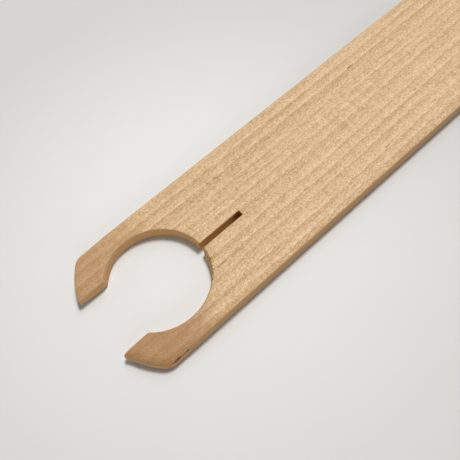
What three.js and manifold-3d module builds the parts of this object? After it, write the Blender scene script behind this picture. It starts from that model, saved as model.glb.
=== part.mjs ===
// Flat stick shuttle for weaving: one thin board with a round notch and a horn pair at each end.
// Millimetres, +Z up. Length along X, width along Y. The origin is under the middle of the board,
// on the surface that it lies on.
import * as THREE from 'three';
import { mergeVertices } from 'three/addons/utils/BufferGeometryUtils.js';
import Module from 'manifold-3d';

// Driving dimensions of the board.
const LENGTH = 300;
const WIDTH = 45;
const THICKNESS = 4;

// Round notch at each end, drilled on the centre line, and its mouth, sawn a little to one side.
const NOTCH_RADIUS = 16;
const NOTCH_TO_TIP = 20.7;
const MOUTH_WIDTH = 21.2;
const MOUTH_OFFSET = -0.35;

// Saw slit that runs inwards from the notch and pinches the end of the yarn.
const SLIT_WIDTH = 2;
const SLIT_OFFSET = -1.2;
const SLIT_REACH = 32;

// Rounded end of the board and its eased corners.
const END_RADIUS = 31.8;
const SHOULDER_RADIUS = 5;
const TIP_RADIUS = 0.7;
const UPPER_CORNER_RADIUS = 0.8;
const LOWER_CORNER_RADIUS = 1.8;

// The ends are sanded thinner on both faces, from the notch out to the tips.
const TAPER_LENGTH = 34;
const TAPER_DEPTH = 0.35;

// Arc steps per stretch in the plan outline and in the side profile.
const PLAN_STEPS = 9;
const PROFILE_STEPS = 4;

const WOOD_COLOUR = 0xdbba91;
const WOOD_ROUGHNESS = 0.55;

const halfWidth = WIDTH / 2;
const notchCentreX = LENGTH / 2 - NOTCH_TO_TIP;

// Points of a round stretch are worked out with the notch centre as origin and the mouth towards -X.
// The end arc's centre lies on the centre line, behind the notch centre.
const upperWall = MOUTH_OFFSET + MOUTH_WIDTH / 2;
const lowerWall = MOUTH_OFFSET - MOUTH_WIDTH / 2;
const tipRise = upperWall + TIP_RADIUS;
const tipReach = Math.sqrt((END_RADIUS - TIP_RADIUS) ** 2 - tipRise ** 2) + TIP_RADIUS;
const endCentreX = tipReach - NOTCH_TO_TIP;

/** The X, left of a circle's centre, of the point on that circle at height y. */
function leftOnCircle(centreX, radius, y) {
  return centreX - Math.sqrt(radius ** 2 - y ** 2);
}

/** Centre of a small arc inside the end arc, a radius away from the level y that it also touches. */
function insideEnd(radius, y) {
  return { x: leftOnCircle(endCentreX, END_RADIUS - radius, y), y, radius };
}

/** Centre of a small arc outside the notch, touching it and one wall of the mouth. */
function outsideNotch(radius, y) {
  return { x: leftOnCircle(0, NOTCH_RADIUS + radius, y), y, radius };
}

/** Angle of the line from one point to another. */
function angle(from, to) {
  return Math.atan2(to.y - from.y, to.x - from.x);
}

/** Adds the outline of one end to the shape, turned to face -X (turn 0) or +X (turn pi). */
function addEnd(shape, turn) {
  const side = Math.cos(turn);
  const notch = { x: 0, y: 0 };
  const end = { x: endCentreX, y: 0 };
  const upperShoulder = insideEnd(SHOULDER_RADIUS, halfWidth - SHOULDER_RADIUS);
  const lowerShoulder = insideEnd(SHOULDER_RADIUS, SHOULDER_RADIUS - halfWidth);
  const upperTip = insideEnd(TIP_RADIUS, upperWall + TIP_RADIUS);
  const lowerTip = insideEnd(TIP_RADIUS, lowerWall - TIP_RADIUS);
  const upperCorner = outsideNotch(UPPER_CORNER_RADIUS, upperWall + UPPER_CORNER_RADIUS);
  const lowerCorner = outsideNotch(LOWER_CORNER_RADIUS, lowerWall - LOWER_CORNER_RADIUS);
  const slitTop = SLIT_OFFSET + SLIT_WIDTH / 2;
  const slitBottom = SLIT_OFFSET - SLIT_WIDTH / 2;

  const arc = (centre, radius, from, to, clockwise) => {
    const x = side * (centre.x - notchCentreX);
    const y = side * centre.y;
    shape.absarc(x, y, radius, from + turn, to + turn, clockwise);
  };
  const line = (x, y) => shape.lineTo(side * (x - notchCentreX), side * y);

  arc(upperShoulder, SHOULDER_RADIUS, Math.PI / 2, angle(end, upperShoulder), false);
  arc(end, END_RADIUS, angle(end, upperShoulder), angle(end, upperTip), false);
  arc(upperTip, TIP_RADIUS, angle(end, upperTip), 1.5 * Math.PI, false);
  arc(upperCorner, UPPER_CORNER_RADIUS, -Math.PI / 2, angle(upperCorner, notch), false);
  arc(notch, NOTCH_RADIUS, angle(notch, upperCorner), Math.asin(slitTop / NOTCH_RADIUS), true);
  line(SLIT_REACH, slitTop);
  line(SLIT_REACH, slitBottom);
  arc(notch, NOTCH_RADIUS, Math.asin(slitBottom / NOTCH_RADIUS), angle(notch, lowerCorner), true);
  arc(lowerCorner, LOWER_CORNER_RADIUS, angle(lowerCorner, notch), Math.PI / 2, false);
  arc(lowerTip, TIP_RADIUS, Math.PI / 2, angle(end, lowerTip) + 2 * Math.PI, false);
  arc(end, END_RADIUS, angle(end, lowerTip), angle(end, lowerShoulder), false);
  arc(lowerShoulder, SHOULDER_RADIUS, angle(end, lowerShoulder), -Math.PI / 2, false);
}

/** Plan outline of the board: both ends, joined by the two straight sides. */
function planOutline() {
  const shape = new THREE.Shape();
  addEnd(shape, 0);
  addEnd(shape, Math.PI);
  shape.closePath();
  return shape;
}

/** Side profile of the board, drawn in X and Y: flat in the middle, thinned by arcs at both ends. */
function sideProfile() {
  const taperStart = LENGTH / 2 - TAPER_LENGTH;
  const radius = (TAPER_LENGTH ** 2 + TAPER_DEPTH ** 2) / (2 * TAPER_DEPTH);
  const sweep = Math.asin(TAPER_LENGTH / radius);
  const up = Math.PI / 2;
  const shape = new THREE.Shape();
  shape.absarc(-taperStart, radius, radius, -up - sweep, -up, false);
  shape.absarc(taperStart, radius, radius, -up, -up + sweep, false);
  shape.absarc(taperStart, THICKNESS - radius, radius, up - sweep, up, false);
  shape.absarc(-taperStart, THICKNESS - radius, radius, up, up + sweep, false);
  shape.closePath();
  return shape;
}

/** A closed geometry as a solid that can be cut. */
function toSolid(geometry, wasm) {
  geometry.deleteAttribute('normal');
  geometry.deleteAttribute('uv');
  const merged = mergeVertices(geometry);
  const vertProperties = new Float32Array(merged.attributes.position.array);
  const triVerts = new Uint32Array(merged.index.array);
  return new wasm.Manifold(new wasm.Mesh({ numProp: 3, vertProperties, triVerts }));
}

/** A solid as a geometry with flat-shaded faces. */
function toGeometry(solid) {
  const mesh = solid.getMesh();
  const geometry = new THREE.BufferGeometry();
  geometry.setAttribute('position', new THREE.BufferAttribute(mesh.vertProperties, mesh.numProp));
  geometry.setIndex(new THREE.BufferAttribute(mesh.triVerts, 1));
  const flat = geometry.toNonIndexed();
  flat.computeVertexNormals();
  return flat;
}

/** The board: its plan outline extruded, then thinned at the ends by its side profile. */
async function shuttleBoard() {
  const wasm = await Module();
  wasm.setup();
  const plan = new THREE.ExtrudeGeometry(planOutline(), {
    depth: THICKNESS,
    bevelEnabled: false,
    curveSegments: PLAN_STEPS,
  });
  const profile = new THREE.ExtrudeGeometry(sideProfile(), {
    depth: 2 * WIDTH,
    bevelEnabled: false,
    curveSegments: PROFILE_STEPS,
  });
  profile.translate(0, 0, -WIDTH);
  profile.rotateX(Math.PI / 2);
  const solid = toSolid(plan, wasm).intersect(toSolid(profile, wasm));
  const material = new THREE.MeshStandardMaterial({
    color: WOOD_COLOUR,
    roughness: WOOD_ROUGHNESS,
    metalness: 0,
  });
  const board = new THREE.Mesh(toGeometry(solid), material);
  board.name = 'shuttle_board';
  return board;
}

const shuttle = new THREE.Group();
shuttle.add(await shuttleBoard());

export default shuttle;
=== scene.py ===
"""A flat stick shuttle for weaving: one board of pale hardwood, dressed, lit and framed.

The board is modelled in millimetres, in the row frame (length along X, width along Y, up along Z,
origin under its middle), and scaled to metres when it is finished.
"""

import logging
import math
from collections.abc import Iterable
from dataclasses import dataclass, field
from enum import Enum

import bmesh
import bpy
from bmesh.types import BMEdge, BMesh, BMFace, BMVert
from mathutils import Matrix, Vector


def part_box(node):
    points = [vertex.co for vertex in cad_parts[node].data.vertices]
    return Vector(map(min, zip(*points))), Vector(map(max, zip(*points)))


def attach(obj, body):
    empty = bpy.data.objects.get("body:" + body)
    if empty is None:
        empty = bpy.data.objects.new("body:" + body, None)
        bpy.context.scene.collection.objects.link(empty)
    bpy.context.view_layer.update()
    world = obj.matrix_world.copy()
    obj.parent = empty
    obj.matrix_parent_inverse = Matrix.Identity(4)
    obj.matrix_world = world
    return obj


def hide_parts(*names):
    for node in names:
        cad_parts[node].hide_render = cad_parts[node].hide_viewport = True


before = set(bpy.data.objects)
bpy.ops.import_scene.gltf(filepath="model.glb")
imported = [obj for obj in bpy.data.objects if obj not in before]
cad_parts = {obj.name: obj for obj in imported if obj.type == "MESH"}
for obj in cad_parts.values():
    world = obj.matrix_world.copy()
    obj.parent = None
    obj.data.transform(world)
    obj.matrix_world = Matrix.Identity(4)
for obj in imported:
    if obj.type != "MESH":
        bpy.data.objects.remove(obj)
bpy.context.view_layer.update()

LOG = logging.getLogger("stick_shuttle")

MM = 0.001
NODE_NAME = "shuttle_board"
BODY_NAME = "root"

HALF_TURN = math.pi
QUARTER_TURN = math.pi / 2

# In mm: points closer together than TOUCH are one point, and a point closer to a cut than CUT_SNAP
# is taken as on it.
TOUCH = 1e-3
CUT_SNAP = 0.01

# The middle value of a pattern, where it neither lightens nor darkens.
MID_TONE = 0.5

# The values that the board's points carry for its finishes.
NEARNESS = "edge_nearness"
TORN = "torn_fibre"

# A face is flat if the Z share of its normal is above FLAT, and a wall if it is below WALL.
FLAT = 0.999
WALL = 0.5

Pair = tuple[float, float]
Triple = tuple[float, float, float]
Colour = Triple


class Finish(Enum):
    """The finishes of the board, in the order of its material slots."""

    FACE = 0
    CUT = 1
    SLIT = 2


# Shader tools


@dataclass(frozen=True)
class Grain:
    """A noise pattern: how fast it changes along each axis, its shift and its finer layers."""

    stretch: Triple
    shift: Triple = (0.0, 0.0, 0.0)
    layers: float = 3.0
    roughness: float = 0.6


class Sheet:
    """A node tree being filled in: short calls that add a node and link its inputs."""

    def __init__(self, tree: bpy.types.NodeTree, place: bpy.types.NodeSocket | None = None) -> None:
        """Starts on a tree.

        Args:
            tree: the node tree of a material, of the world or of a group.
            place: the output that gives the place where patterns are read.
        """
        self.tree = tree
        self.place = place

    def feed(self, socket: bpy.types.NodeSocket, value: object) -> None:
        """Links a socket to an output, or sets its own value.

        Args:
            socket: the input socket.
            value: an output socket, a number or a tuple.
        """
        if isinstance(value, bpy.types.NodeSocket):
            self.tree.links.new(value, socket)
        else:
            socket.default_value = value

    def node(self, kind: str, **inputs: object) -> bpy.types.Node:
        """Adds a node and feeds its inputs by name, with _ for a space.

        Args:
            kind: the node's type name.
            inputs: a value or an output socket for each named input.

        Returns:
            The new node.
        """
        return self.fill(self.tree.nodes.new(kind), inputs)

    def fill(self, made: bpy.types.Node, inputs: dict[str, object]) -> bpy.types.Node:
        """Feeds a node's inputs by name, with _ for a space, and returns the node."""
        for name, value in inputs.items():
            self.feed(made.inputs[name.replace("_", " ")], value)
        return made

    def math(self, operation: str, *values: object, clamp: bool = False) -> bpy.types.NodeSocket:
        """Adds a math node.

        Args:
            operation: the operation's name, such as MULTIPLY.
            values: its inputs, in order.
            clamp: whether the result is kept between 0 and 1.

        Returns:
            The node's output.
        """
        made = self.tree.nodes.new("ShaderNodeMath")
        made.operation = operation
        made.use_clamp = clamp
        for socket, value in zip(made.inputs, values):
            self.feed(socket, value)
        return made.outputs[0]

    def remap(self, value: object, low: object, high: object, to_low: float = 0.0,
              to_high: float = 1.0, smooth: bool = False) -> bpy.types.NodeSocket:
        """Maps a range of a value onto another range, with both ends held.

        Args:
            value: the value to map.
            low: the value that becomes to_low.
            high: the value that becomes to_high.
            to_low: the result at low.
            to_high: the result at high.
            smooth: whether the change starts and ends gently.

        Returns:
            The mapped value.
        """
        made = self.tree.nodes.new("ShaderNodeMapRange")
        made.interpolation_type = "SMOOTHSTEP" if smooth else "LINEAR"
        for socket, given in zip(made.inputs, (value, low, high, to_low, to_high)):
            self.feed(socket, given)
        return made.outputs[0]

    def blend(self, factor: object, first: object, second: object,
              mode: str = "MIX") -> bpy.types.NodeSocket:
        """Mixes two colours.

        Args:
            factor: how much of the second colour shows.
            first: the first colour.
            second: the second colour.
            mode: the blend type.

        Returns:
            The mixed colour.
        """
        made = self.tree.nodes.new("ShaderNodeMix")
        made.data_type = "RGBA"
        made.blend_type = mode
        self.feed(made.inputs[0], factor)
        for socket, colour in zip(made.inputs[6:8], (first, second)):
            self.feed(socket, colour if isinstance(colour, bpy.types.NodeSocket) else (*colour, 1.0))
        return made.outputs[2]

    def stretch(self, place: object, scale: Triple, shift: Triple = (0.0,) * 3) -> bpy.types.NodeSocket:
        """Scales a place along each axis, and then moves it."""
        return self.node("ShaderNodeMapping", Vector=place, Scale=scale, Location=shift).outputs[0]

    def noise(self, grain: Grain) -> bpy.types.NodeSocket:
        """Reads a noise pattern at the sheet's place, as a grey value of about 0 to 1."""
        place = self.stretch(self.place, grain.stretch, grain.shift)
        return self.node("ShaderNodeTexNoise", Vector=place, Scale=1.0, Detail=grain.layers,
                         Roughness=grain.roughness).outputs[0]

    def wave(self, grain: Grain) -> bpy.types.NodeSocket:
        """Reads a noise pattern as a value that swings about 0."""
        return self.math("SUBTRACT", self.noise(grain), MID_TONE)

    def axes(self) -> tuple[bpy.types.NodeSocket, ...]:
        """Splits the sheet's place into X, Y and Z."""
        return tuple(self.node("ShaderNodeSeparateXYZ", Vector=self.place).outputs)

    def group(self, tree: bpy.types.NodeTree, **inputs: object) -> bpy.types.Node:
        """Adds a node group that reads the same place, and feeds its numbers by name."""
        made = self.tree.nodes.new("ShaderNodeGroup")
        made.node_tree = tree
        return self.fill(made, {"Place": self.place, **inputs})

    def attribute(self, name: str) -> bpy.types.NodeSocket:
        """Reads a value that the mesh's points carry."""
        made = self.tree.nodes.new("ShaderNodeAttribute")
        made.attribute_name = name
        return made.outputs["Fac"]

    def coordinates(self, kind: str) -> bpy.types.NodeSocket:
        """Reads a place by its kind, such as Object."""
        return self.tree.nodes.new("ShaderNodeTexCoord").outputs[kind]


class GroupSheet(Sheet):
    """The sheet of a new node group, which takes a place and some numbers, and gives numbers."""

    def __init__(self, name: str, gives: tuple[str, ...], *takes: str) -> None:
        """Starts the group.

        Args:
            name: the group's name.
            gives: the names of the numbers that it gives.
            takes: the names of the numbers that it takes.
        """
        tree = bpy.data.node_groups.new(name, "ShaderNodeTree")
        tree.interface.new_socket("Place", in_out="INPUT", socket_type="NodeSocketVector")
        for way, titles in (("INPUT", takes), ("OUTPUT", gives)):
            for title in titles:
                tree.interface.new_socket(title, in_out=way, socket_type="NodeSocketFloat")
        self.taken = tree.nodes.new("NodeGroupInput").outputs
        self.given = tree.nodes.new("NodeGroupOutput").inputs
        super().__init__(tree, self.taken["Place"])

    def close(self, *values: bpy.types.NodeSocket) -> bpy.types.NodeTree:
        """Feeds what the group gives, in order, and returns its tree."""
        for socket, value in zip(self.given, values):
            self.feed(socket, value)
        return self.tree


@dataclass(frozen=True)
class GrowthLine:
    """One growth line: where it meets the upper face, across the board, and how dark it is."""

    across: float
    strength: float


@dataclass(frozen=True)
class StreakAndShadeMark:
    """One dark mark by its middle and its size in millimetres: mostly a short dark streak in the wood,
    and in two places painted shade.
    """

    along: float
    across: float
    length: float
    width: float
    strength: float
    height: float = 4.0


class WoodPatterns:
    """The node groups that every finish of the wood shares, each made once, for a place in mm.

    A pair of numbers is where a change starts and ends.
    """

    LINES = (
        GrowthLine(21.2, 0.35), GrowthLine(18.1, 1.00), GrowthLine(14.3, 1.00), GrowthLine(9.2, 0.55),
        GrowthLine(6.0, 0.60), GrowthLine(3.2, 0.75), GrowthLine(-0.3, 0.75), GrowthLine(-6.0, 0.75),
        GrowthLine(-9.4, 0.90), GrowthLine(-12.7, 0.60), GrowthLine(-17.2, 0.85),
        GrowthLine(-20.3, 0.70),
    )
    LINE_BLUR = 0.16

    # The tones just below and just above a line: of the faintest line, and of the strongest.
    DARK_SIDE = (0.55, 0.13)
    LIGHT_SIDE = (0.67, 0.97)
    PLAIN_TONE = 0.6
    RAMP_HALF_WIDTH = 30.0
    RING_TILT = 0.55
    FACE_HEIGHT = 4.0

    # The rings drift across the board, most along its lower edge, and swing slowly and quickly.
    DRIFT = 5.0
    DRIFT_ALONG = (-84.0, 110.0)
    DRIFT_ACROSS = (4.0, 20.0)
    LEAST_DRIFT = 0.12
    SWING = 1.3
    RIPPLE = 0.35
    SLOW_SWING = Grain((0.030, 0.11, 0.11), layers=2.0, roughness=0.55)
    QUICK_RIPPLE = Grain((0.16, 0.5, 0.5), (9.0, 3.0, 0.0))

    FINE_STREAKS = Grain((0.30, 2.6, 2.6), roughness=0.65)
    WIDE_STREAKS = Grain((0.07, 1.1, 1.1), (4.0, 7.0, 1.0))
    WIDE_SHARE = 0.45
    PORES = Grain((1.7, 2.9, 2.9), (1.0, 8.0, 5.0), roughness=0.75)

    FLECKS = Grain((0.85, 2.2, 1.5), (2.0, 5.0, 3.0), layers=2.0, roughness=0.55)
    FLECK_SPAN = (0.30, 0.72)
    BARS = Grain((0.80, 0.13, 0.13), (7.0, 1.0, 2.0))
    BAR_PATCHES = Grain((0.035, 0.11, 0.11), (3.0, 2.0, 6.0), layers=1.0, roughness=0.5)
    PATCH_SPAN = (0.38, 0.66)
    LEAST_BARS = 0.25

    MARK_DEPTH = 0.9
    MARK_EDGE = (1.0, 0.1)
    MARK_FRAY = (-0.35, 0.55)
    NOISE_SPAN = (0.25, 0.75)
    FRAYED_FIBRES = Grain((0.8, 4.0, 4.0), layers=2.0)

    WEAR_PATCHES = Grain((0.6, 0.6, 0.6))
    WEAR_LOSS = 0.35
    WEAR_SPAN = (0.0, 0.8)

    # The next three numbers shape the painted shade at the ends: its ragged edge, and the side where it
    # is lighter.
    RAGGED_EDGE = Grain((0.10, 0.16, 0.16))
    CLOUD_SPAN = (0.3, 0.7)
    SIDE_SPAN = (8.0, -8.0)

    def __init__(self) -> None:
        """Makes the groups."""
        self.rings = self._rings()
        self.fibre = self._fibre()
        self.shimmer = self._shimmer()
        self.streak_and_shade_mark = self._streak_and_shade_mark()
        self.worn_edge = self._worn_edge()
        self.painted_end_shade = self._painted_end_shade()

    def _rings(self) -> bpy.types.NodeTree:
        """Growth rings: light that rises slowly across each ring and drops at its dark line.

        Returns:
            The group's node tree.
        """
        sheet = GroupSheet("growth_rings", ("Ring",))
        along, across, height = sheet.axes()
        bend = sheet.remap(along, *self.DRIFT_ALONG, 0.0, self.DRIFT, smooth=True)
        share = sheet.remap(across, *self.DRIFT_ACROSS, 1.0, self.LEAST_DRIFT)
        level = sheet.math("SUBTRACT", across, sheet.math("MULTIPLY", bend, share))
        for grain, size in ((self.SLOW_SWING, self.SWING), (self.QUICK_RIPPLE, self.RIPPLE)):
            level = sheet.math("MULTIPLY_ADD", sheet.wave(grain), size, level)
        depth = sheet.math("SUBTRACT", height, self.FACE_HEIGHT)
        level = sheet.math("MULTIPLY_ADD", depth, self.RING_TILT, level)
        span = sheet.remap(level, -self.RAMP_HALF_WIDTH, self.RAMP_HALF_WIDTH)
        ramp = sheet.node("ShaderNodeValToRGB", Fac=span)
        self._draw_ramp(ramp.color_ramp)
        return sheet.close(ramp.outputs[0])

    def _draw_ramp(self, ramp: bpy.types.ColorRamp) -> None:
        """Sets a colour ramp's stops: bright just above each growth line, dark just below it.

        Args:
            ramp: the ramp to set, which starts with two stops.
        """
        width = 2 * self.RAMP_HALF_WIDTH
        step = self.LINE_BLUR / width
        for line in sorted(self.LINES, key=lambda line: line.across):
            place = (line.across + self.RAMP_HALF_WIDTH) / width
            for offset, (faint, strong) in ((-step, self.DARK_SIDE), (step, self.LIGHT_SIDE)):
                grey = faint + (strong - faint) * line.strength
                stop = ramp.elements.new(place + offset)
                stop.color = (grey, grey, grey, 1.0)
        for end in (0, -1):
            ramp.elements[end].color = (self.PLAIN_TONE,) * 3 + (1.0,)

    def _fibre(self) -> bpy.types.NodeTree:
        """Fibres: fine streaks along the board in two widths, and the grain of their pores.

        Returns:
            The group's node tree.
        """
        sheet = GroupSheet("fibre_streaks", ("Streak", "Pores"))
        mixed = sheet.node("ShaderNodeMix", Factor=self.WIDE_SHARE, A=sheet.noise(self.FINE_STREAKS),
                           B=sheet.noise(self.WIDE_STREAKS))
        return sheet.close(mixed.outputs[0], sheet.noise(self.PORES))

    def _shimmer(self) -> bpy.types.NodeTree:
        """Shimmer: short dashes of ray fleck, and fine bars across the grain that come in patches.

        Returns:
            The group's node tree.
        """
        sheet = GroupSheet("ray_shimmer", ("Fleck", "Bars"))
        patch = sheet.noise(self.BAR_PATCHES)
        strength = sheet.remap(patch, *self.PATCH_SPAN, self.LEAST_BARS, 1.0, smooth=True)
        bars = sheet.math("MULTIPLY", sheet.wave(self.BARS), strength)
        return sheet.close(sheet.remap(sheet.noise(self.FLECKS), *self.FLECK_SPAN), bars)

    def _streak_and_shade_mark(self) -> bpy.types.NodeTree:
        """One dark mark, an ellipsoid with soft ends that the fibres break up; it draws both streaks in
        the wood and painted shade.

        Returns:
            The group's node tree.
        """
        sheet = GroupSheet("streak_and_shade_mark", ("Mask",), "Along", "Across", "Height", "Length", "Width")
        _, along, across, height, length, width, *_ = sheet.taken
        sizes = (length, width, 2 * self.MARK_DEPTH)
        distance: object = 0.0
        for offset, middle, size in zip(sheet.axes(), (along, across, height), sizes):
            reach = sheet.math("MULTIPLY", size, 0.5)
            ratio = sheet.math("DIVIDE", sheet.math("SUBTRACT", offset, middle), reach)
            distance = sheet.math("MULTIPLY_ADD", ratio, ratio, distance)
        frayed = sheet.remap(sheet.noise(self.FRAYED_FIBRES), *self.NOISE_SPAN, *self.MARK_FRAY)
        distance = sheet.math("ADD", distance, frayed)
        return sheet.close(sheet.remap(distance, *self.MARK_EDGE, smooth=True))

    def _worn_edge(self) -> bpy.types.NodeTree:
        """Handled edges: a soft band beside each arris, broken up by noise.

        Returns:
            The group's node tree.
        """
        sheet = GroupSheet("worn_edge", ("Wear",), "Nearness")
        loss = sheet.math("MULTIPLY", sheet.noise(self.WEAR_PATCHES), self.WEAR_LOSS)
        kept = sheet.math("SUBTRACT", sheet.taken["Nearness"], loss)
        return sheet.close(sheet.remap(kept, *self.WEAR_SPAN, smooth=True))

    def _painted_end_shade(self) -> bpy.types.NodeTree:
        """Painted shade along the board, with a ragged edge: darker board ends, for the sheen they lack
        and their shaded end walls, and a darker slit end, for its deep shadow.

        It is 0 at the distance From, measured from the board's middle, and 1 at the distance To.

        Returns:
            The group's node tree.
        """
        sheet = GroupSheet("painted_end_shade", ("Share",), "From", "To", "Ragged", "One Sided")
        _, begins, ends, ragged, one_sided, *_ = sheet.taken
        along, across, _ = sheet.axes()
        clouds = sheet.remap(sheet.noise(self.RAGGED_EDGE), *self.CLOUD_SPAN, -1.0, 1.0)
        reach = sheet.math("MULTIPLY_ADD", clouds, ragged, sheet.math("ABSOLUTE", along))
        change = sheet.remap(reach, begins, ends, smooth=True)
        turned = sheet.math("MULTIPLY", across, sheet.math("SIGN", along))
        less = sheet.math("MULTIPLY", sheet.remap(turned, *self.SIDE_SPAN, smooth=True), one_sided)
        return sheet.close(sheet.math("MULTIPLY", change, sheet.math("SUBTRACT", 1.0, less)))


@dataclass(frozen=True)
class WoodFinish:
    """One finish of the board: its colours, and how strongly each pattern shows in it."""

    name: str
    light: Colour
    dark: Colour
    edge: Colour
    torn: Colour
    # The colour that the painted shade at the board's ends multiplies in.
    end_shade: Colour
    ring_share: float
    fleck_share: float
    bar_share: float
    streak_share: float
    pore_share: float
    roughness: float
    sheen_swing: float
    bump: float
    bump_depth: float = 0.05 * MM
    tone_relief: float = 0.6
    refraction: float = 1.5
    specular: float = 0.5
    torn_span: Pair = (0.04, 0.22)
    torn_share: float = 0.75
    # For the painted shade at the ends: how much of the patterns' contrast stays in it, where it starts
    # and is full along the board and how ragged its edge is, and how much lighter it is on one side.
    end_shade_contrast: float = 0.5
    end_shade_span: Triple = (118.0, 136.0, 4.0)
    one_sided: float = 0.35
    mark: Colour = (0.085, 0.032, 0.008)
    marks: tuple[StreakAndShadeMark, ...] = ()

    def make(self, patterns: WoodPatterns) -> bpy.types.Material:
        """Builds the material.

        Args:
            patterns: the shared node groups.

        Returns:
            The material.
        """
        material = bpy.data.materials.new(self.name)
        material.use_nodes = True
        material.node_tree.nodes.clear()
        sheet = Sheet(material.node_tree)
        sheet.place = sheet.stretch(sheet.coordinates("Object"), (1 / MM,) * 3)
        fibre = sheet.group(patterns.fibre)
        # Painted shade: the ends of the board and the slit's closed end are multiplied by a darker colour
        # and their patterns calmed, standing in for light that they lack.
        begins, ends, ragged = self.end_shade_span
        end_shade = sheet.group(patterns.painted_end_shade, From=begins, To=ends, Ragged=ragged,
                              One_Sided=self.one_sided).outputs[0]
        calm = sheet.remap(end_shade, 0.0, 1.0, 1.0, self.end_shade_contrast)
        swing = sheet.math("SUBTRACT", self._tone(sheet, patterns, fibre), MID_TONE)
        tone = sheet.math("MULTIPLY_ADD", swing, calm, MID_TONE)
        marked = self._marks(sheet, patterns)

        base = sheet.blend(tone, self.dark, self.light)
        base = sheet.blend(end_shade, base, self.end_shade, mode="MULTIPLY")
        wear = sheet.group(patterns.worn_edge, Nearness=sheet.attribute(NEARNESS))
        base = sheet.blend(wear.outputs[0], base, self.edge)
        torn = sheet.remap(sheet.attribute(TORN), *self.torn_span, 0.0, self.torn_share)
        base = sheet.blend(torn, base, self.torn)
        base = sheet.blend(marked, base, self.mark)

        gloss = sheet.math("MULTIPLY", sheet.math("SUBTRACT", tone, MID_TONE), self.sheen_swing)
        relief = sheet.math("MULTIPLY_ADD", tone, self.tone_relief, fibre.outputs["Pores"])
        bump = sheet.node("ShaderNodeBump", Strength=self.bump, Distance=self.bump_depth,
                          Height=sheet.math("SUBTRACT", relief, marked))
        shader = sheet.node("ShaderNodeBsdfPrincipled", Base_Color=base, Normal=bump.outputs[0],
                            Roughness=sheet.math("SUBTRACT", self.roughness, gloss),
                            IOR=self.refraction, Specular_IOR_Level=self.specular)
        sheet.node("ShaderNodeOutputMaterial", Surface=shader.outputs[0])
        return material

    def _tone(self, sheet: Sheet, patterns: WoodPatterns, fibre: bpy.types.Node
              ) -> bpy.types.NodeSocket:
        """Adds the patterns up to one light-to-dark value.

        Args:
            sheet: the material's sheet.
            patterns: the shared node groups.
            fibre: the node that gives fibre streaks and pores.

        Returns:
            The value, 1 where the wood is lightest.
        """
        ring = sheet.group(patterns.rings).outputs[0]
        shimmer = sheet.group(patterns.shimmer)
        parts = (
            (ring, patterns.PLAIN_TONE, self.ring_share),
            (fibre.outputs["Streak"], MID_TONE, self.streak_share),
            (fibre.outputs["Pores"], MID_TONE, self.pore_share),
            (shimmer.outputs["Fleck"], MID_TONE, self.fleck_share),
            (shimmer.outputs["Bars"], 0.0, self.bar_share),
        )
        total: object = MID_TONE
        for value, level, share in parts:
            total = sheet.math("MULTIPLY_ADD", sheet.math("SUBTRACT", value, level), share, total)
        return sheet.math("ADD", total, 0.0, clamp=True)

    def _marks(self, sheet: Sheet, patterns: WoodPatterns) -> object:
        """Lays the dark marks: streaks in the wood, and painted shade on the lower long edge beside the
        lower horn.

        Args:
            sheet: the material's sheet.
            patterns: the shared node groups.

        Returns:
            How much of the mark colour shows, which is 0 if this finish has no marks.
        """
        total: object = 0.0
        for mark in self.marks:
            mask = sheet.group(patterns.streak_and_shade_mark, Along=mark.along, Across=mark.across,
                               Height=mark.height, Length=mark.length, Width=mark.width).outputs[0]
            total = sheet.math("MAXIMUM", total, sheet.math("MULTIPLY", mask, mark.strength))
        return total


def place_object(name: str, data: bpy.types.ID) -> bpy.types.Object:
    """Makes an object of a mesh, a light or a camera and links it to the scene."""
    made = bpy.data.objects.new(name, data)
    bpy.context.scene.collection.objects.link(made)
    return made


def mesh_object(name: str, bm: BMesh) -> bpy.types.Object:
    """Turns a bmesh into an object of that name in the scene, and frees the bmesh."""
    mesh = bpy.data.meshes.new(name)
    bm.to_mesh(mesh)
    bm.free()
    return place_object(name, mesh)


# The board


class OutlinePen:
    """Draws an outline in a bmesh, one straight or round stretch after another."""

    def __init__(self, bm: BMesh, start: Pair) -> None:
        """Puts the pen down.

        Args:
            bm: the bmesh to draw in.
            start: where the outline starts.
        """
        self.bm = bm
        self.first = bm.verts.new((*start, 0.0))
        self.last = self.first

    def line(self, end: Pair) -> None:
        """Draws a straight stretch to a point."""
        made = bmesh.ops.extrude_vert_indiv(self.bm, verts=[self.last])
        self.last = made["verts"][0]
        self.last.co = (*end, 0.0)

    def arc(self, centre: Pair, end_angle: float, clockwise: bool, step: float) -> None:
        """Draws a round stretch about a centre, from where the pen is to an angle.

        Args:
            centre: the centre of the arc.
            end_angle: the direction from the centre to the arc's end.
            clockwise: whether the pen turns clockwise.
            step: about how long each edge is.
        """
        spoke = Vector((self.last.co.x - centre[0], self.last.co.y - centre[1]))
        start_angle = math.atan2(spoke.y, spoke.x)
        sweep = (end_angle - start_angle) % (2 * math.pi)
        if clockwise:
            sweep -= 2 * math.pi
        steps = max(2, round(abs(sweep) * spoke.length / step))
        made = bmesh.ops.spin(self.bm, geom=[self.last], cent=(*centre, 0.0), axis=(0.0, 0.0, 1.0),
                              angle=sweep, steps=steps, use_merge=False, use_duplicate=False)
        self.last = next(item for item in made["geom_last"] if isinstance(item, BMVert))

    def close(self) -> BMEdge:
        """Joins the last point to the first and returns the closing edge."""
        return self.bm.edges.new((self.last, self.first))


@dataclass(frozen=True)
class Nick:
    """A place on the notch's upper arris where fibres tore out: its direction and size in mm."""

    bearing: float
    width: float
    depth: float


NICKS = (
    Nick(-9.2, 0.42, 0.24), Nick(-13.6, 0.48, 0.32), Nick(-18.2, 0.36, 0.20), Nick(-22.5, 0.58, 0.36),
    Nick(-26.6, 0.36, 0.20), Nick(-31.0, 0.52, 0.34), Nick(-35.0, 0.36, 0.20), Nick(-38.8, 0.46, 0.30),
    Nick(-42.6, 0.36, 0.18), Nick(-46.4, 0.52, 0.34),
)


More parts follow.
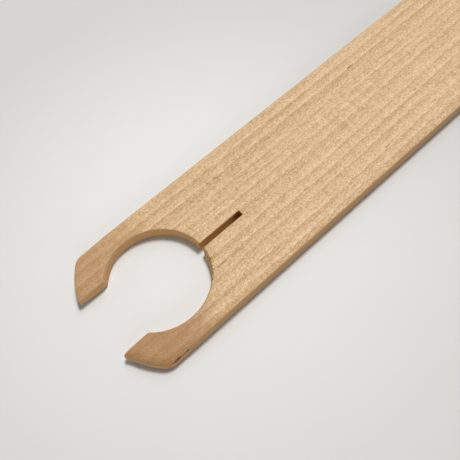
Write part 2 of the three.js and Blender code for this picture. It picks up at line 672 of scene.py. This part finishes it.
@dataclass
class ShuttleBoard:
    """The board. Its outer sizes come from the frame; the rest are its maker's sizes, in mm.

    One half, which faces -X, is drawn, thickened, eased and slit, then turned round for the other.
    A place is a point as seen from its own notch's centre, with the notch's mouth towards -X. The
    pairs called along, turn, turns, below and beside say where a change starts and where it is
    full, in mm or in degrees about that centre.
    """

    length: float
    width: float
    thickness: float

    notch_radius: float = 16.0
    notch_to_tip: float = 20.7
    mouth_width: float = 21.2
    mouth_offset: float = -0.35
    slit_width: float = 2.0
    slit_offset: float = -1.2
    slit_reach: float = 32.0
    end_radius: float = 31.8
    shoulder_radius: float = 5.0
    tip_radius: float = 0.7
    upper_corner_radius: float = 0.8
    lower_corner_radius: float = 1.8
    taper_length: float = 34.0
    taper_depth: float = 0.35

    arris: float = 0.5
    arris_segments: int = 4
    support: float = 0.12
    curve_step: float = 0.45
    nick_step: float = 0.11
    nicks_from: float = math.radians(-7.0)
    nicks_to: float = math.radians(-48.0)
    strip_corners: int = 8
    first_cut: float = 0.4
    cut_levels: tuple[float, ...] = (0.25, 0.5, 0.7)
    end_pitch: float = 0.8
    end_reach: float = 34.0
    middle_pitch: float = 5.0
    row_pitch: float = 0.8

    nose_reach: float = 2.8
    nose_top_squeeze: float = 0.16
    nose_bottom_squeeze: float = 0.55

    edge_reach: float = 2.0
    edge_along: Pair = (-2.0, -9.0)
    lower_edge_drop: float = 1.05
    upper_edge_drop: float = 0.40
    point_pull: Pair = (-0.38, 0.10)
    point_reach: float = 1.6

    corner_lean: float = 1.0
    corner_soften: float = 0.45
    corner_turn: Pair = (98.0, 134.0)
    corner_along: Pair = (-17.0, -12.5)
    corner_from: float = -12.2
    corner_reach: float = 2.2
    corner_mouth_reach: float = 5.0
    corner_top_loss: float = 0.68

    notch_lean: float = 0.6
    notch_lean_reach: float = 2.5
    notch_lean_turns: tuple[Pair, Pair] = ((-7.5, -14.0), (-75.0, -50.0))

    nicks: tuple[Nick, ...] = NICKS
    nick_below: Pair = (1.7, 0.5)
    nick_beside: Pair = (0.60, 0.20)
    nick_fall: float = 0.8
    broken_arris: float = 0.16
    broken_turns: tuple[Pair, Pair] = ((-2.0, -9.0), (-62.0, -48.0))

    nearness_reach: float = 0.45
    side_margin: float = 0.05
    sharp_angle: float = math.radians(50.0)

    piece: bpy.types.Object | None = field(default=None, repr=False)

    @classmethod
    def from_frame(cls) -> "ShuttleBoard":
        """Takes the outer sizes from the CAD node."""
        low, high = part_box(NODE_NAME)
        size = (Vector(high) - Vector(low)) / MM
        return cls(length=size.x, width=size.y, thickness=size.z)

    @property
    def notch_x(self) -> float:
        """X of the left notch's centre."""
        return self.notch_to_tip - self.length / 2

    @property
    def upper_wall(self) -> float:
        """Y of the mouth's upper wall."""
        return self.mouth_offset + self.mouth_width / 2

    @property
    def lower_wall(self) -> float:
        """Y of the mouth's lower wall."""
        return self.mouth_offset - self.mouth_width / 2

    @property
    def end_x(self) -> float:
        """X of the centre of the left end's arc."""
        rise = self.upper_wall + self.tip_radius
        reach = math.sqrt((self.end_radius - self.tip_radius) ** 2 - rise ** 2) + self.tip_radius
        return self.notch_x + reach - self.notch_to_tip

    def _inside_end(self, radius: float, y: float) -> Pair:
        """Centre of an arc of that radius inside the end arc, with its centre at height y."""
        return self.end_x - math.sqrt((self.end_radius - radius) ** 2 - y ** 2), y

    def _outside_notch(self, radius: float, y: float) -> Pair:
        """Centre of an arc of that radius outside the notch, with its centre at height y."""
        return self.notch_x - math.sqrt((self.notch_radius + radius) ** 2 - y ** 2), y

    def build(self) -> bpy.types.Object:
        """Models the board and links it to the scene.

        Returns:
            The new piece, in metres, with its place in its mesh.
        """
        bm = bmesh.new()
        cap = self._draw_half(bm)
        self._ease_arrises(bm, cap)
        self._saw_slit(bm)
        self._turn_other_half(bm)
        self._grid(bm)
        self._shape(bm)
        self._measure_edges(bm)
        bmesh.ops.scale(bm, vec=(MM, MM, MM), verts=bm.verts)
        self.piece = mesh_object("shuttle_board_wood", bm)
        return self.piece

    def _draw_half(self, bm: BMesh) -> BMFace:
        """Draws the half plan, without its slit, and raises it to the board's thickness.

        Args:
            bm: an empty bmesh.

        Returns:
            The face across the middle of the board, where the other half will join.
        """
        half = self.width / 2
        notch = (self.notch_x, 0.0)
        end = (self.end_x, 0.0)
        shoulder, tip = self.shoulder_radius, self.tip_radius
        upper_shoulder = self._inside_end(shoulder, half - shoulder)
        lower_shoulder = self._inside_end(shoulder, shoulder - half)
        upper_tip = self._inside_end(tip, self.upper_wall + tip)
        lower_tip = self._inside_end(tip, self.lower_wall - tip)
        upper_corner = self._outside_notch(self.upper_corner_radius,
                                           self.upper_wall + self.upper_corner_radius)
        lower_corner = self._outside_notch(self.lower_corner_radius,
                                           self.lower_wall - self.lower_corner_radius)

        fine = self.curve_step / 2
        pen = OutlinePen(bm, (0.0, half))
        pen.line((upper_shoulder[0], half))
        pen.arc(upper_shoulder, bearing(end, upper_shoulder), False, self.curve_step)
        pen.arc(end, bearing(end, upper_tip), False, self.curve_step)
        pen.arc(upper_tip, -QUARTER_TURN, False, fine / 2)
        pen.line((upper_corner[0], self.upper_wall))
        pen.arc(upper_corner, bearing(upper_corner, notch), False, fine)
        pen.arc(notch, self.nicks_from, True, self.curve_step)
        pen.arc(notch, self.nicks_to, True, self.nick_step)
        pen.arc(notch, bearing(notch, lower_corner), True, self.curve_step)
        pen.arc(lower_corner, QUARTER_TURN, False, fine)
        pen.line((lower_tip[0], self.lower_wall))
        pen.arc(lower_tip, bearing(end, lower_tip), False, fine / 2)
        pen.arc(end, bearing(end, lower_shoulder), False, self.curve_step)
        pen.arc(lower_shoulder, -QUARTER_TURN, False, self.curve_step)
        pen.line((0.0, -half))
        pen.close()

        bmesh.ops.contextual_create(bm, geom=bm.edges)
        raised = bmesh.ops.extrude_face_region(bm, geom=bm.faces[:])
        verts = [item for item in raised["geom"] if isinstance(item, BMVert)]
        bmesh.ops.translate(bm, vec=(0.0, 0.0, self.thickness), verts=verts)
        bmesh.ops.recalc_face_normals(bm, faces=bm.faces)
        walls = [face for face in bm.faces if is_wall(face)]
        return max(walls, key=lambda face: face.calc_center_median().x)

    def _ease_arrises(self, bm: BMesh, cap: BMFace) -> None:
        """Rounds every arris of the half, then adds a support loop inside each face.

        Args:
            bm: the half board.
            cap: the face across the middle, which is removed.
        """
        rims = [edge for edge in bm.edges if is_rim(edge) and cap not in edge.link_faces]
        bmesh.ops.bevel(bm, geom=rims, offset=self.arris, offset_type="OFFSET", affect="EDGES",
                        segments=self.arris_segments, profile=0.5, material=-1, clamp_overlap=False)
        # Only the upper and the lower face have more corners than a strip of a rounded arris.
        flats = [face for face in bm.faces
                 if abs(face.normal.z) > FLAT and len(face.verts) > self.strip_corners]
        bmesh.ops.inset_individual(bm, faces=flats, thickness=self.support, use_even_offset=True)
        middle = [face for face in bm.faces if all(abs(vert.co.x) < TOUCH for vert in face.verts)]
        bmesh.ops.delete(bm, geom=middle, context="FACES")

    def _saw_slit(self, bm: BMesh) -> None:
        """Cuts the slit out of the half and walls it.

        Args:
            bm: the half board.
        """
        top = self.slit_offset + self.slit_width / 2
        bottom = self.slit_offset - self.slit_width / 2
        stop = self.notch_x + self.slit_reach
        cut(bm, (stop, 0.0, 0.0), (1.0, 0.0, 0.0), bm.faces)
        for level in (top, bottom):
            near = [face for face in bm.faces
                    if face.calc_center_median().x < stop and self.notch_x < face_high_x(face)]
            cut(bm, (0.0, level, 0.0), (0.0, 1.0, 0.0), near)
        waste = [face for face in bm.faces
                 if bottom < face.calc_center_median().y < top
                 and self.notch_x < face.calc_center_median().x < stop]
        bmesh.ops.delete(bm, geom=waste, context="FACES")
        for level in (top, bottom):
            ends = [vert for vert in bm.verts
                    if abs(vert.co.x - stop) < TOUCH and abs(vert.co.y - level) < TOUCH]
            bm.edges.new(sorted(ends, key=lambda vert: vert.co.z)[:: len(ends) - 1])
        rims = [edge for edge in bm.edges
                if len(edge.link_faces) < 2 and edge.verts[0].co.x + edge.verts[1].co.x < -TOUCH]
        walls = bmesh.ops.holes_fill(bm, edges=rims, sides=0)["faces"]
        for wall in walls:
            wall.material_index = Finish.SLIT.value

    def _turn_other_half(self, bm: BMesh) -> None:
        """Copies the half, turns the copy half a turn about Z and welds the two.

        Args:
            bm: the half board.
        """
        made = bmesh.ops.duplicate(bm, geom=bm.verts[:] + bm.edges[:] + bm.faces[:])
        verts = [item for item in made["geom"] if isinstance(item, BMVert)]
        bmesh.ops.rotate(bm, cent=(0.0, 0.0, 0.0), matrix=Matrix.Rotation(HALF_TURN, 3, "Z"), verts=verts)
        seam = [vert for vert in bm.verts if abs(vert.co.x) < TOUCH]
        bmesh.ops.remove_doubles(bm, verts=seam, dist=TOUCH)
        bmesh.ops.recalc_face_normals(bm, faces=bm.faces)

    def _grid(self, bm: BMesh) -> None:
        """Cuts the board into small cells, finer towards the ends, and makes them triangles.

        Args:
            bm: the whole board.
        """
        reach = self.length / 2
        fine_from = reach - self.end_reach
        x = self.first_cut
        while x < reach:
            for side in (-1.0, 1.0):
                cut(bm, (side * x, 0.0, 0.0), (1.0, 0.0, 0.0), bm.faces)
            x += self.end_pitch if x > fine_from else self.middle_pitch
        rows = round(self.width / self.row_pitch)
        for row in range(1, rows):
            y = self.width * (row / rows - 0.5)
            cut(bm, (0.0, y, 0.0), (0.0, 1.0, 0.0), bm.faces)
        for level in self.cut_levels:
            cut(bm, (0.0, 0.0, self.thickness * level), (0.0, 0.0, 1.0), bm.faces)
        bmesh.ops.triangulate(bm, faces=bm.faces, quad_method="BEAUTY", ngon_method="BEAUTY")

    def _shape(self, bm: BMesh) -> None:
        """Works both ends by hand: thinned, with round noses and edges, a filed corner and nicks.

        Args:
            bm: the whole board.
        """
        for vert in bm.verts:
            side = 1.0 if vert.co.x < 0.0 else -1.0
            place = Vector((side * vert.co.x - self.notch_x, side * vert.co.y, vert.co.z))
            lean = self._corner_lean(place)
            tear = self._torn_depth(place) if side > 0.0 else 0.0
            place.x += lean + tear - self._notch_lean(place)
            place.xy += self._point_pull(place)
            place.z = self._worked_height(place, lean) - self.nick_fall * tear
            vert.co = (side * (place.x + self.notch_x), side * place.y, place.z)

    def _worked_height(self, place: Vector, lean: float) -> float:
        """The height of a point after the end is thinned and its edges are rounded.

        Args:
            place: the point's place.
            lean: how far the filed corner moved the point.

        Returns:
            Its new height.
        """
        middle = self.thickness / 2
        rise = (place.z - middle) / middle
        past = max(0.0, self.taper_length - self.notch_to_tip - place.x) / self.taper_length
        kept = 1.0 - self.taper_depth * past ** 2 / middle
        tip_x = -self.notch_to_tip
        tips = (self.upper_wall + self.tip_radius, self.lower_wall - self.tip_radius)
        gap = min(math.hypot(place.x - tip_x, place.y - tip) for tip in tips)
        squeeze = self.nose_top_squeeze if rise > 0.0 else self.nose_bottom_squeeze
        kept *= 1.0 - squeeze * math.exp(-(gap / self.nose_reach) ** 2)
        if rise > 0.0:
            kept -= self._edge_drop(place) / middle
            kept -= self.corner_soften * lean * rise / middle
        return middle + middle * rise * kept

    def _edge_drop(self, place: Vector) -> float:
        """How far the broad rounding of an end's outer edge lowers the upper face at a point.

        Args:
            place: the point's place.

        Returns:
            The drop in mm.
        """
        full = self.lower_edge_drop if place.y < 0.0 else self.upper_edge_drop
        share = fade(place.x, *self.edge_along)
        return full * share * closeness(self.outer_depth(place), self.edge_reach) ** 2

    def _point_pull(self, place: Vector) -> Vector:
        """How far the lower horn's point is drawn out, so that it ends nearly sharp.

        Args:
            place: the point's place.

        Returns:
            The move in mm along X and Y.
        """
        point = Vector((-self.notch_to_tip, self.lower_wall - self.tip_radius))
        share = closeness((place.xy - point).length, self.point_reach)
        return Vector(self.point_pull) * share * (2.0 - share)

    def _corner_lean(self, place: Vector) -> float:
        """How far the filed wall beside the mouth's upper corner stands out into the notch.

        Args:
            place: the point's place.

        Returns:
            The distance in mm along X: most at the bottom of the wall, little at its top.
        """
        if place.y < 0.0 or place.x > 0.0:
            return 0.0
        share = fade(turn_of(place), *self.corner_turn) * fade(place.x, *self.corner_along)
        gap = abs(place.xy.length - self.notch_radius)
        if place.x > self.corner_from:
            share *= closeness(gap, self.corner_reach) ** 2
        else:
            share *= closeness(gap, self.corner_mouth_reach)
        return self.corner_lean * share * (1.0 - self.corner_top_loss * place.z / self.thickness)

    def _notch_lean(self, place: Vector) -> float:
        """How far the notch's inner wall, below the slit, slopes out towards its foot.

        Args:
            place: the point's place.

        Returns:
            The distance in mm, 0 at the wall's top.
        """
        if place.y > 0.0 or place.x < 0.0:
            return 0.0
        gap = abs(place.xy.length - self.notch_radius)
        share = band(turn_of(place), self.notch_lean_turns) * closeness(gap, self.notch_lean_reach) ** 2
        return self.notch_lean * share * (1.0 - place.z / self.thickness)

    def _torn_depth(self, place: Vector) -> float:
        """How deep the broken arris and its nicks, beside the slit, bite at a point.

        Args:
            place: the point's place.

        Returns:
            The depth in mm, along the grain.
        """
        gap = place.xy.length - self.notch_radius
        if place.x < 0.0 or place.y > 0.0 or gap > self.nick_beside[0]:
            return 0.0
        turn = turn_of(place)
        below = fade(self.thickness - place.z, *self.nick_below)
        total = self.broken_arris * band(turn, self.broken_turns)
        for nick in self.nicks:
            offset = math.radians(turn - nick.bearing) * self.notch_radius
            total += nick.depth * math.exp(-(2.0 * offset / nick.width) ** 2)
        return total * below * fade(gap, *self.nick_beside)

    def _measure_edges(self, bm: BMesh) -> None:
        """Stores each point's nearness to an arris and torn depth, and each face's finish.

        The nearness is 1 on an arris and 0 well away from it.

        Args:
            bm: the whole board.
        """
        near = bm.verts.layers.float.new(NEARNESS)
        torn = bm.verts.layers.float.new(TORN)
        for vert in bm.verts:
            vert[near] = math.exp(-self.plan_depth(vert.co.x, vert.co.y) / self.nearness_reach)
            if vert.co.z > self.thickness / 2:
                place = Vector((vert.co.x - self.notch_x, vert.co.y, self.thickness))
                vert[torn] = max(0.0, self._torn_depth(place) - self.broken_arris)
        for face in bm.faces:
            face.smooth = True
            sawn = face.material_index == Finish.SLIT.value
            if is_wall(face) and not sawn and not self._is_long_side(face):
                face.material_index = Finish.CUT.value
        for edge in bm.edges:
            if len(edge.link_faces) == 2 and edge.calc_face_angle(0.0) > self.sharp_angle:
                edge.smooth = False

    def _is_long_side(self, face: BMFace) -> bool:
        """Whether a face is on one of the two long straight sides."""
        return abs(face.calc_center_median().y) > self.width / 2 - self.side_margin

    def plan_depth(self, x: float, y: float) -> float:
        """How far inside the plan outline a point lies.

        Args:
            x: along the board.
            y: across the board.

        Returns:
            The distance in mm, 0 on the outline.
        """
        if x > 0.0:
            x, y = -x, -y
        depth = min(self.width / 2 - abs(y), abs(math.hypot(x - self.notch_x, y) - self.notch_radius))
        if x < self.end_x:
            depth = min(depth, self.end_radius - math.hypot(x - self.end_x, y))
        if x < self.notch_x:
            depth = min(depth, abs(y - self.upper_wall), abs(y - self.lower_wall))
        return max(0.0, depth)

    def outer_depth(self, place: Vector) -> float:
        """How far inside the long side, the shoulder and the end arc a point lies.

        Args:
            place: the point's place.

        Returns:
            The distance in mm, 0 on the outline.
        """
        end = (self.end_x - self.notch_x, 0.0)
        side = abs(place.y)
        depth = min(self.width / 2 - side, self.end_radius - math.hypot(place.x - end[0], side))
        x, y = self._inside_end(self.shoulder_radius, self.width / 2 - self.shoulder_radius)
        centre = (x - self.notch_x, y)
        direction = bearing(centre, (place.x, side))
        if QUARTER_TURN < direction < bearing(end, centre):
            depth = self.shoulder_radius - math.hypot(place.x - centre[0], side - y)
        return max(0.0, depth)

    def dress(self, finishes: Iterable[WoodFinish], patterns: WoodPatterns) -> None:
        """Gives the piece its materials, in the order of the finishes.

        Args:
            finishes: one finish for each material slot.
            patterns: the shared node groups.
        """
        for finish in finishes:
            self.piece.data.materials.append(finish.make(patterns))

    def register(self) -> None:
        """Hides the CAD part that the piece stands for, and hangs the piece on its body's empty."""
        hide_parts(NODE_NAME)
        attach(self.piece, BODY_NAME)


def bearing(origin: Pair, target: Pair) -> float:
    """The direction of the line from one point to another, as an angle."""
    return math.atan2(target[1] - origin[1], target[0] - origin[0])


def fade(value: float, low: float, high: float) -> float:
    """A smooth step from 0 at low to 1 at high, where high may also be the smaller."""
    share = min(1.0, max(0.0, (value - low) / (high - low)))
    return share * share * (3.0 - 2.0 * share)


def band(value: float, sides: tuple[Pair, Pair]) -> float:
    """Two smooth steps, one at each side of a band, so that it is 1 only between them."""
    return fade(value, *sides[0]) * fade(value, *sides[1])


def closeness(gap: float, reach: float) -> float:
    """How close something is: 1 at no gap, and falling straight to 0 at the reach."""
    return max(0.0, 1.0 - gap / reach)


def turn_of(place: Vector) -> float:
    """The direction of a place from its notch's centre, in degrees."""
    return math.degrees(math.atan2(place.y, place.x))


def is_wall(face: BMFace) -> bool:
    """Whether a face stands upright."""
    return abs(face.normal.z) < WALL


def is_rim(edge: BMEdge) -> bool:
    """Whether an edge is where an upright face meets a flat one."""
    return len(edge.link_faces) == 2 and is_wall(edge.link_faces[0]) != is_wall(edge.link_faces[1])


def face_high_x(face: BMFace) -> float:
    """The highest X of a face's corners."""
    return max(vert.co.x for vert in face.verts)


def cut(bm: BMesh, point: Triple, normal: Triple, faces: Iterable[BMFace]) -> None:
    """Cuts faces where a plane crosses them, and keeps both sides.

    Args:
        bm: the bmesh.
        point: a point of the plane.
        normal: the plane's direction.
        faces: the faces to cut.
    """
    faces = list(faces)
    edges = {edge for face in faces for edge in face.edges}
    verts = {vert for edge in edges for vert in edge.verts}
    bmesh.ops.bisect_plane(bm, geom=[*verts, *edges, *faces], dist=CUT_SNAP, plane_co=point,
                           plane_no=normal)


# The table, the light and the camera


@dataclass(frozen=True)
class PaleTable:
    """The plain pale surface that the board lies on, with a painted pool of light: brighter about the
    board's end and greyer away from it.
    """

    half_size: float = 40.0
    drop: float = 0.05 * MM
    colour: Colour = (0.80, 0.795, 0.772)
    shaded_far_colour: Colour = (0.645, 0.638, 0.618)
    centre: Pair = (-0.105, 0.01)
    light_pool_reach: float = 0.015
    light_pool_fade_reach: float = 0.11
    clouds: Grain = Grain((60.0, 60.0, 60.0), roughness=0.5)
    cloud_colour: Colour = (0.4, 0.4, 0.4)
    cloud_span: Pair = (0.3, 0.7)
    cloud_share: float = 0.02
    roughness: float = 0.75

    def build(self) -> None:
        """Makes the surface and gives it its material."""
        bm = bmesh.new()
        bmesh.ops.create_grid(bm, x_segments=1, y_segments=1, size=self.half_size)
        bmesh.ops.translate(bm, vec=(0.0, 0.0, -self.drop), verts=bm.verts)
        table = mesh_object("pale_table", bm)
        table.data.materials.append(self._top())

    def _top(self) -> bpy.types.Material:
        """Builds the surface's matt material, with the painted pool of light and faint clouds in it.

        Returns:
            The material.
        """
        material = bpy.data.materials.new("pale_table_top")
        material.use_nodes = True
        sheet = Sheet(material.node_tree)
        sheet.place = sheet.coordinates("Object")
        away = sheet.tree.nodes.new("ShaderNodeVectorMath")
        away.operation = "DISTANCE"
        for socket, value in zip(away.inputs, (sheet.place, (*self.centre, 0.0))):
            sheet.feed(socket, value)
        # Painted pool of light: the top is brighter near the board's end and greyer further out, standing
        # in for light that falls off away from it.
        share = sheet.remap(away.outputs["Value"], self.light_pool_reach, self.light_pool_fade_reach, smooth=True)
        tint = sheet.blend(share, self.colour, self.shaded_far_colour)
        cloud = sheet.remap(sheet.noise(self.clouds), *self.cloud_span, 0.0, self.cloud_share)
        tint = sheet.blend(cloud, tint, self.cloud_colour)
        sheet.fill(sheet.tree.nodes["Principled BSDF"], {"Base Color": tint, "Roughness": self.roughness})
        return material


@dataclass(frozen=True)
class FarPanel:
    """One big soft panel so far away that it lights the whole table evenly."""

    name: str
    lean: Pair
    spread: float
    strength: float

    def build(self) -> None:
        """Makes the light. It leans from the zenith by an angle towards +X and one towards +Y."""
        data = bpy.data.lights.new(self.name, "SUN")
        data.angle = math.radians(self.spread)
        data.energy = self.strength
        light = place_object(self.name, data)
        light.location = (*(math.tan(math.radians(lean)) for lean in self.lean), 1.0)
        light.rotation_euler = (-light.location).to_track_quat("-Z", "Y").to_euler()


@dataclass(frozen=True)
class PaleRoom:
    """The room: a pale backdrop low down all round the table, and dim light from above it."""

    backdrop: Colour = (0.69, 0.69, 0.67)
    ceiling: Colour = (0.075, 0.075, 0.073)
    backdrop_top: float = 0.20
    ceiling_from: float = 0.60

    def build(self) -> None:
        """Makes the world."""
        world = bpy.data.worlds.new("pale_room")
        world.use_nodes = True
        sheet = Sheet(world.node_tree)
        sheet.place = sheet.coordinates("Generated")
        share = sheet.remap(sheet.axes()[2], self.backdrop_top, self.ceiling_from, smooth=True)
        tint = sheet.blend(share, self.backdrop, self.ceiling)
        sheet.fill(sheet.tree.nodes["Background"], {"Color": tint, "Strength": 1.0})
        bpy.context.scene.world = world


@dataclass(frozen=True)
class Viewpoint:
    """The camera: what it looks at, from where, how far it is tipped and its lens."""

    aim: Triple
    azimuth: float
    elevation: float
    roll: float
    distance: float
    lens: float
    sensor: float = 36.0
    nearest: float = 0.001
    farthest: float = 100.0

    def build(self) -> None:
        """Makes the camera and gives it to the scene."""
        data = bpy.data.cameras.new("view_camera")
        data.lens = self.lens
        data.sensor_width = self.sensor
        data.clip_start = self.nearest
        data.clip_end = self.farthest
        camera = place_object("view_camera", data)
        turn, rise = math.radians(self.azimuth), math.radians(self.elevation)
        back = Vector((math.sin(turn) * math.cos(rise), -math.cos(turn) * math.cos(rise), math.sin(rise)))
        camera.location = Vector(self.aim) + back * self.distance
        level = (-back).to_track_quat("-Z", "Y").to_matrix()
        tip = Matrix.Rotation(math.radians(self.roll), 3, "Z")
        camera.rotation_euler = (level @ tip).to_euler()
        bpy.context.scene.camera = camera


# The finishes, the stage and the order of work

FACE_MARKS = (
    StreakAndShadeMark(-97.7, 14.2, 0.8, 0.9, 0.45),
    StreakAndShadeMark(-32.7, 14.6, 4.2, 0.42, 0.95),
    StreakAndShadeMark(-78.1, -9.3, 3.2, 0.36, 0.85),
    StreakAndShadeMark(-112.6, -10.0, 5.0, 0.55, 0.62),
    StreakAndShadeMark(-49.0, -16.3, 3.6, 0.44, 0.95),
    StreakAndShadeMark(-65.3, -16.9, 4.2, 0.34, 0.7),
    StreakAndShadeMark(-26.0, -7.7, 2.2, 0.40, 0.7),
    StreakAndShadeMark(-25.5, -15.2, 2.4, 0.46, 0.7),
    StreakAndShadeMark(-131.0, -20.2, 4.0, 0.26, 0.6),
    # These two marks run together into a dark band along the rounded lower long edge beside the lower
    # horn: painted shade on that edge.
    StreakAndShadeMark(-137.1, -22.5, 4.4, 0.8, 1.0, height=3.4),
    StreakAndShadeMark(-140.3, -22.4, 5.4, 0.9, 0.95, height=3.1),
    StreakAndShadeMark(24.0, 6.3, 2.8, 0.40, 0.8),
    StreakAndShadeMark(61.0, -3.8, 2.4, 0.36, 0.7),
    StreakAndShadeMark(88.0, 16.9, 3.4, 0.40, 0.8),
    StreakAndShadeMark(117.0, -18.2, 3.0, 0.40, 0.7),
)

# Each finish's end colour is painted shade at the board's ends; in the sawn slit it paints the deep
# shadow at the slit's closed end.
FINISHES = (
    WoodFinish(
        name="sanded_face", light=(0.818, 0.586, 0.360), dark=(0.458, 0.252, 0.088),
        edge=(0.45, 0.265, 0.120), torn=(0.20, 0.085, 0.022), end_shade=(0.68, 0.58, 0.49),
        ring_share=0.50, fleck_share=0.30, bar_share=0.6, streak_share=1.3, pore_share=2.5,
        roughness=0.45, sheen_swing=0.10, bump=0.5, specular=0.26, marks=FACE_MARKS,
    ),
    WoodFinish(
        name="cut_wall", light=(0.74, 0.435, 0.180), dark=(0.40, 0.21, 0.070),
        edge=(0.57, 0.325, 0.135), torn=(0.24, 0.12, 0.040), end_shade=(0.80, 0.70, 0.60),
        ring_share=0.5, fleck_share=0.3, bar_share=0.6, streak_share=0.8, pore_share=1.2,
        roughness=0.6, sheen_swing=0.08, bump=0.6, specular=0.3,
    ),
    WoodFinish(
        name="sawn_slit", light=(0.80, 0.475, 0.190), dark=(0.50, 0.27, 0.095),
        edge=(0.55, 0.28, 0.075), torn=(0.24, 0.12, 0.040), end_shade=(0.74, 0.58, 0.42),
        ring_share=0.3, fleck_share=0.4, bar_share=0.8, streak_share=0.6, pore_share=1.2,
        roughness=0.8, sheen_swing=0.05, bump=0.6, specular=0.15, end_shade_contrast=1.0,
        end_shade_span=(101.5, 98.4, 0.3), one_sided=0.0,
    ),
)

LIGHTS = (
    FarPanel("key_panel", (24.0, 9.5), 17.0, 2.26),
    FarPanel("side_panel", (38.7, 30.2), 30.0, 0.60),
    FarPanel("left_back_panel", (-39.9, 54.8), 24.0, 0.12),
    FarPanel("left_front_panel", (-42.0, -62.0), 26.0, 0.33),
)

VIEW = Viewpoint(aim=(-0.1037, -0.0034, 0.004), azimuth=-31.3, elevation=60.1, roll=-12.4,
                 distance=0.1772, lens=46.96)


def main() -> None:
    """Builds the scene in order and reports each piece."""
    logging.basicConfig(level=logging.INFO, format="%(name)s: %(message)s")
    bpy.context.scene.view_settings.view_transform = "Standard"
    VIEW.build()
    PaleTable().build()
    PaleRoom().build()
    for light in LIGHTS:
        light.build()
    board = ShuttleBoard.from_frame()
    board.build()
    board.dress(FINISHES, WoodPatterns())
    board.register()
    LOG.info("%s: %d faces", board.piece.name, len(board.piece.data.polygons))


if __name__ == "__main__":
    main()
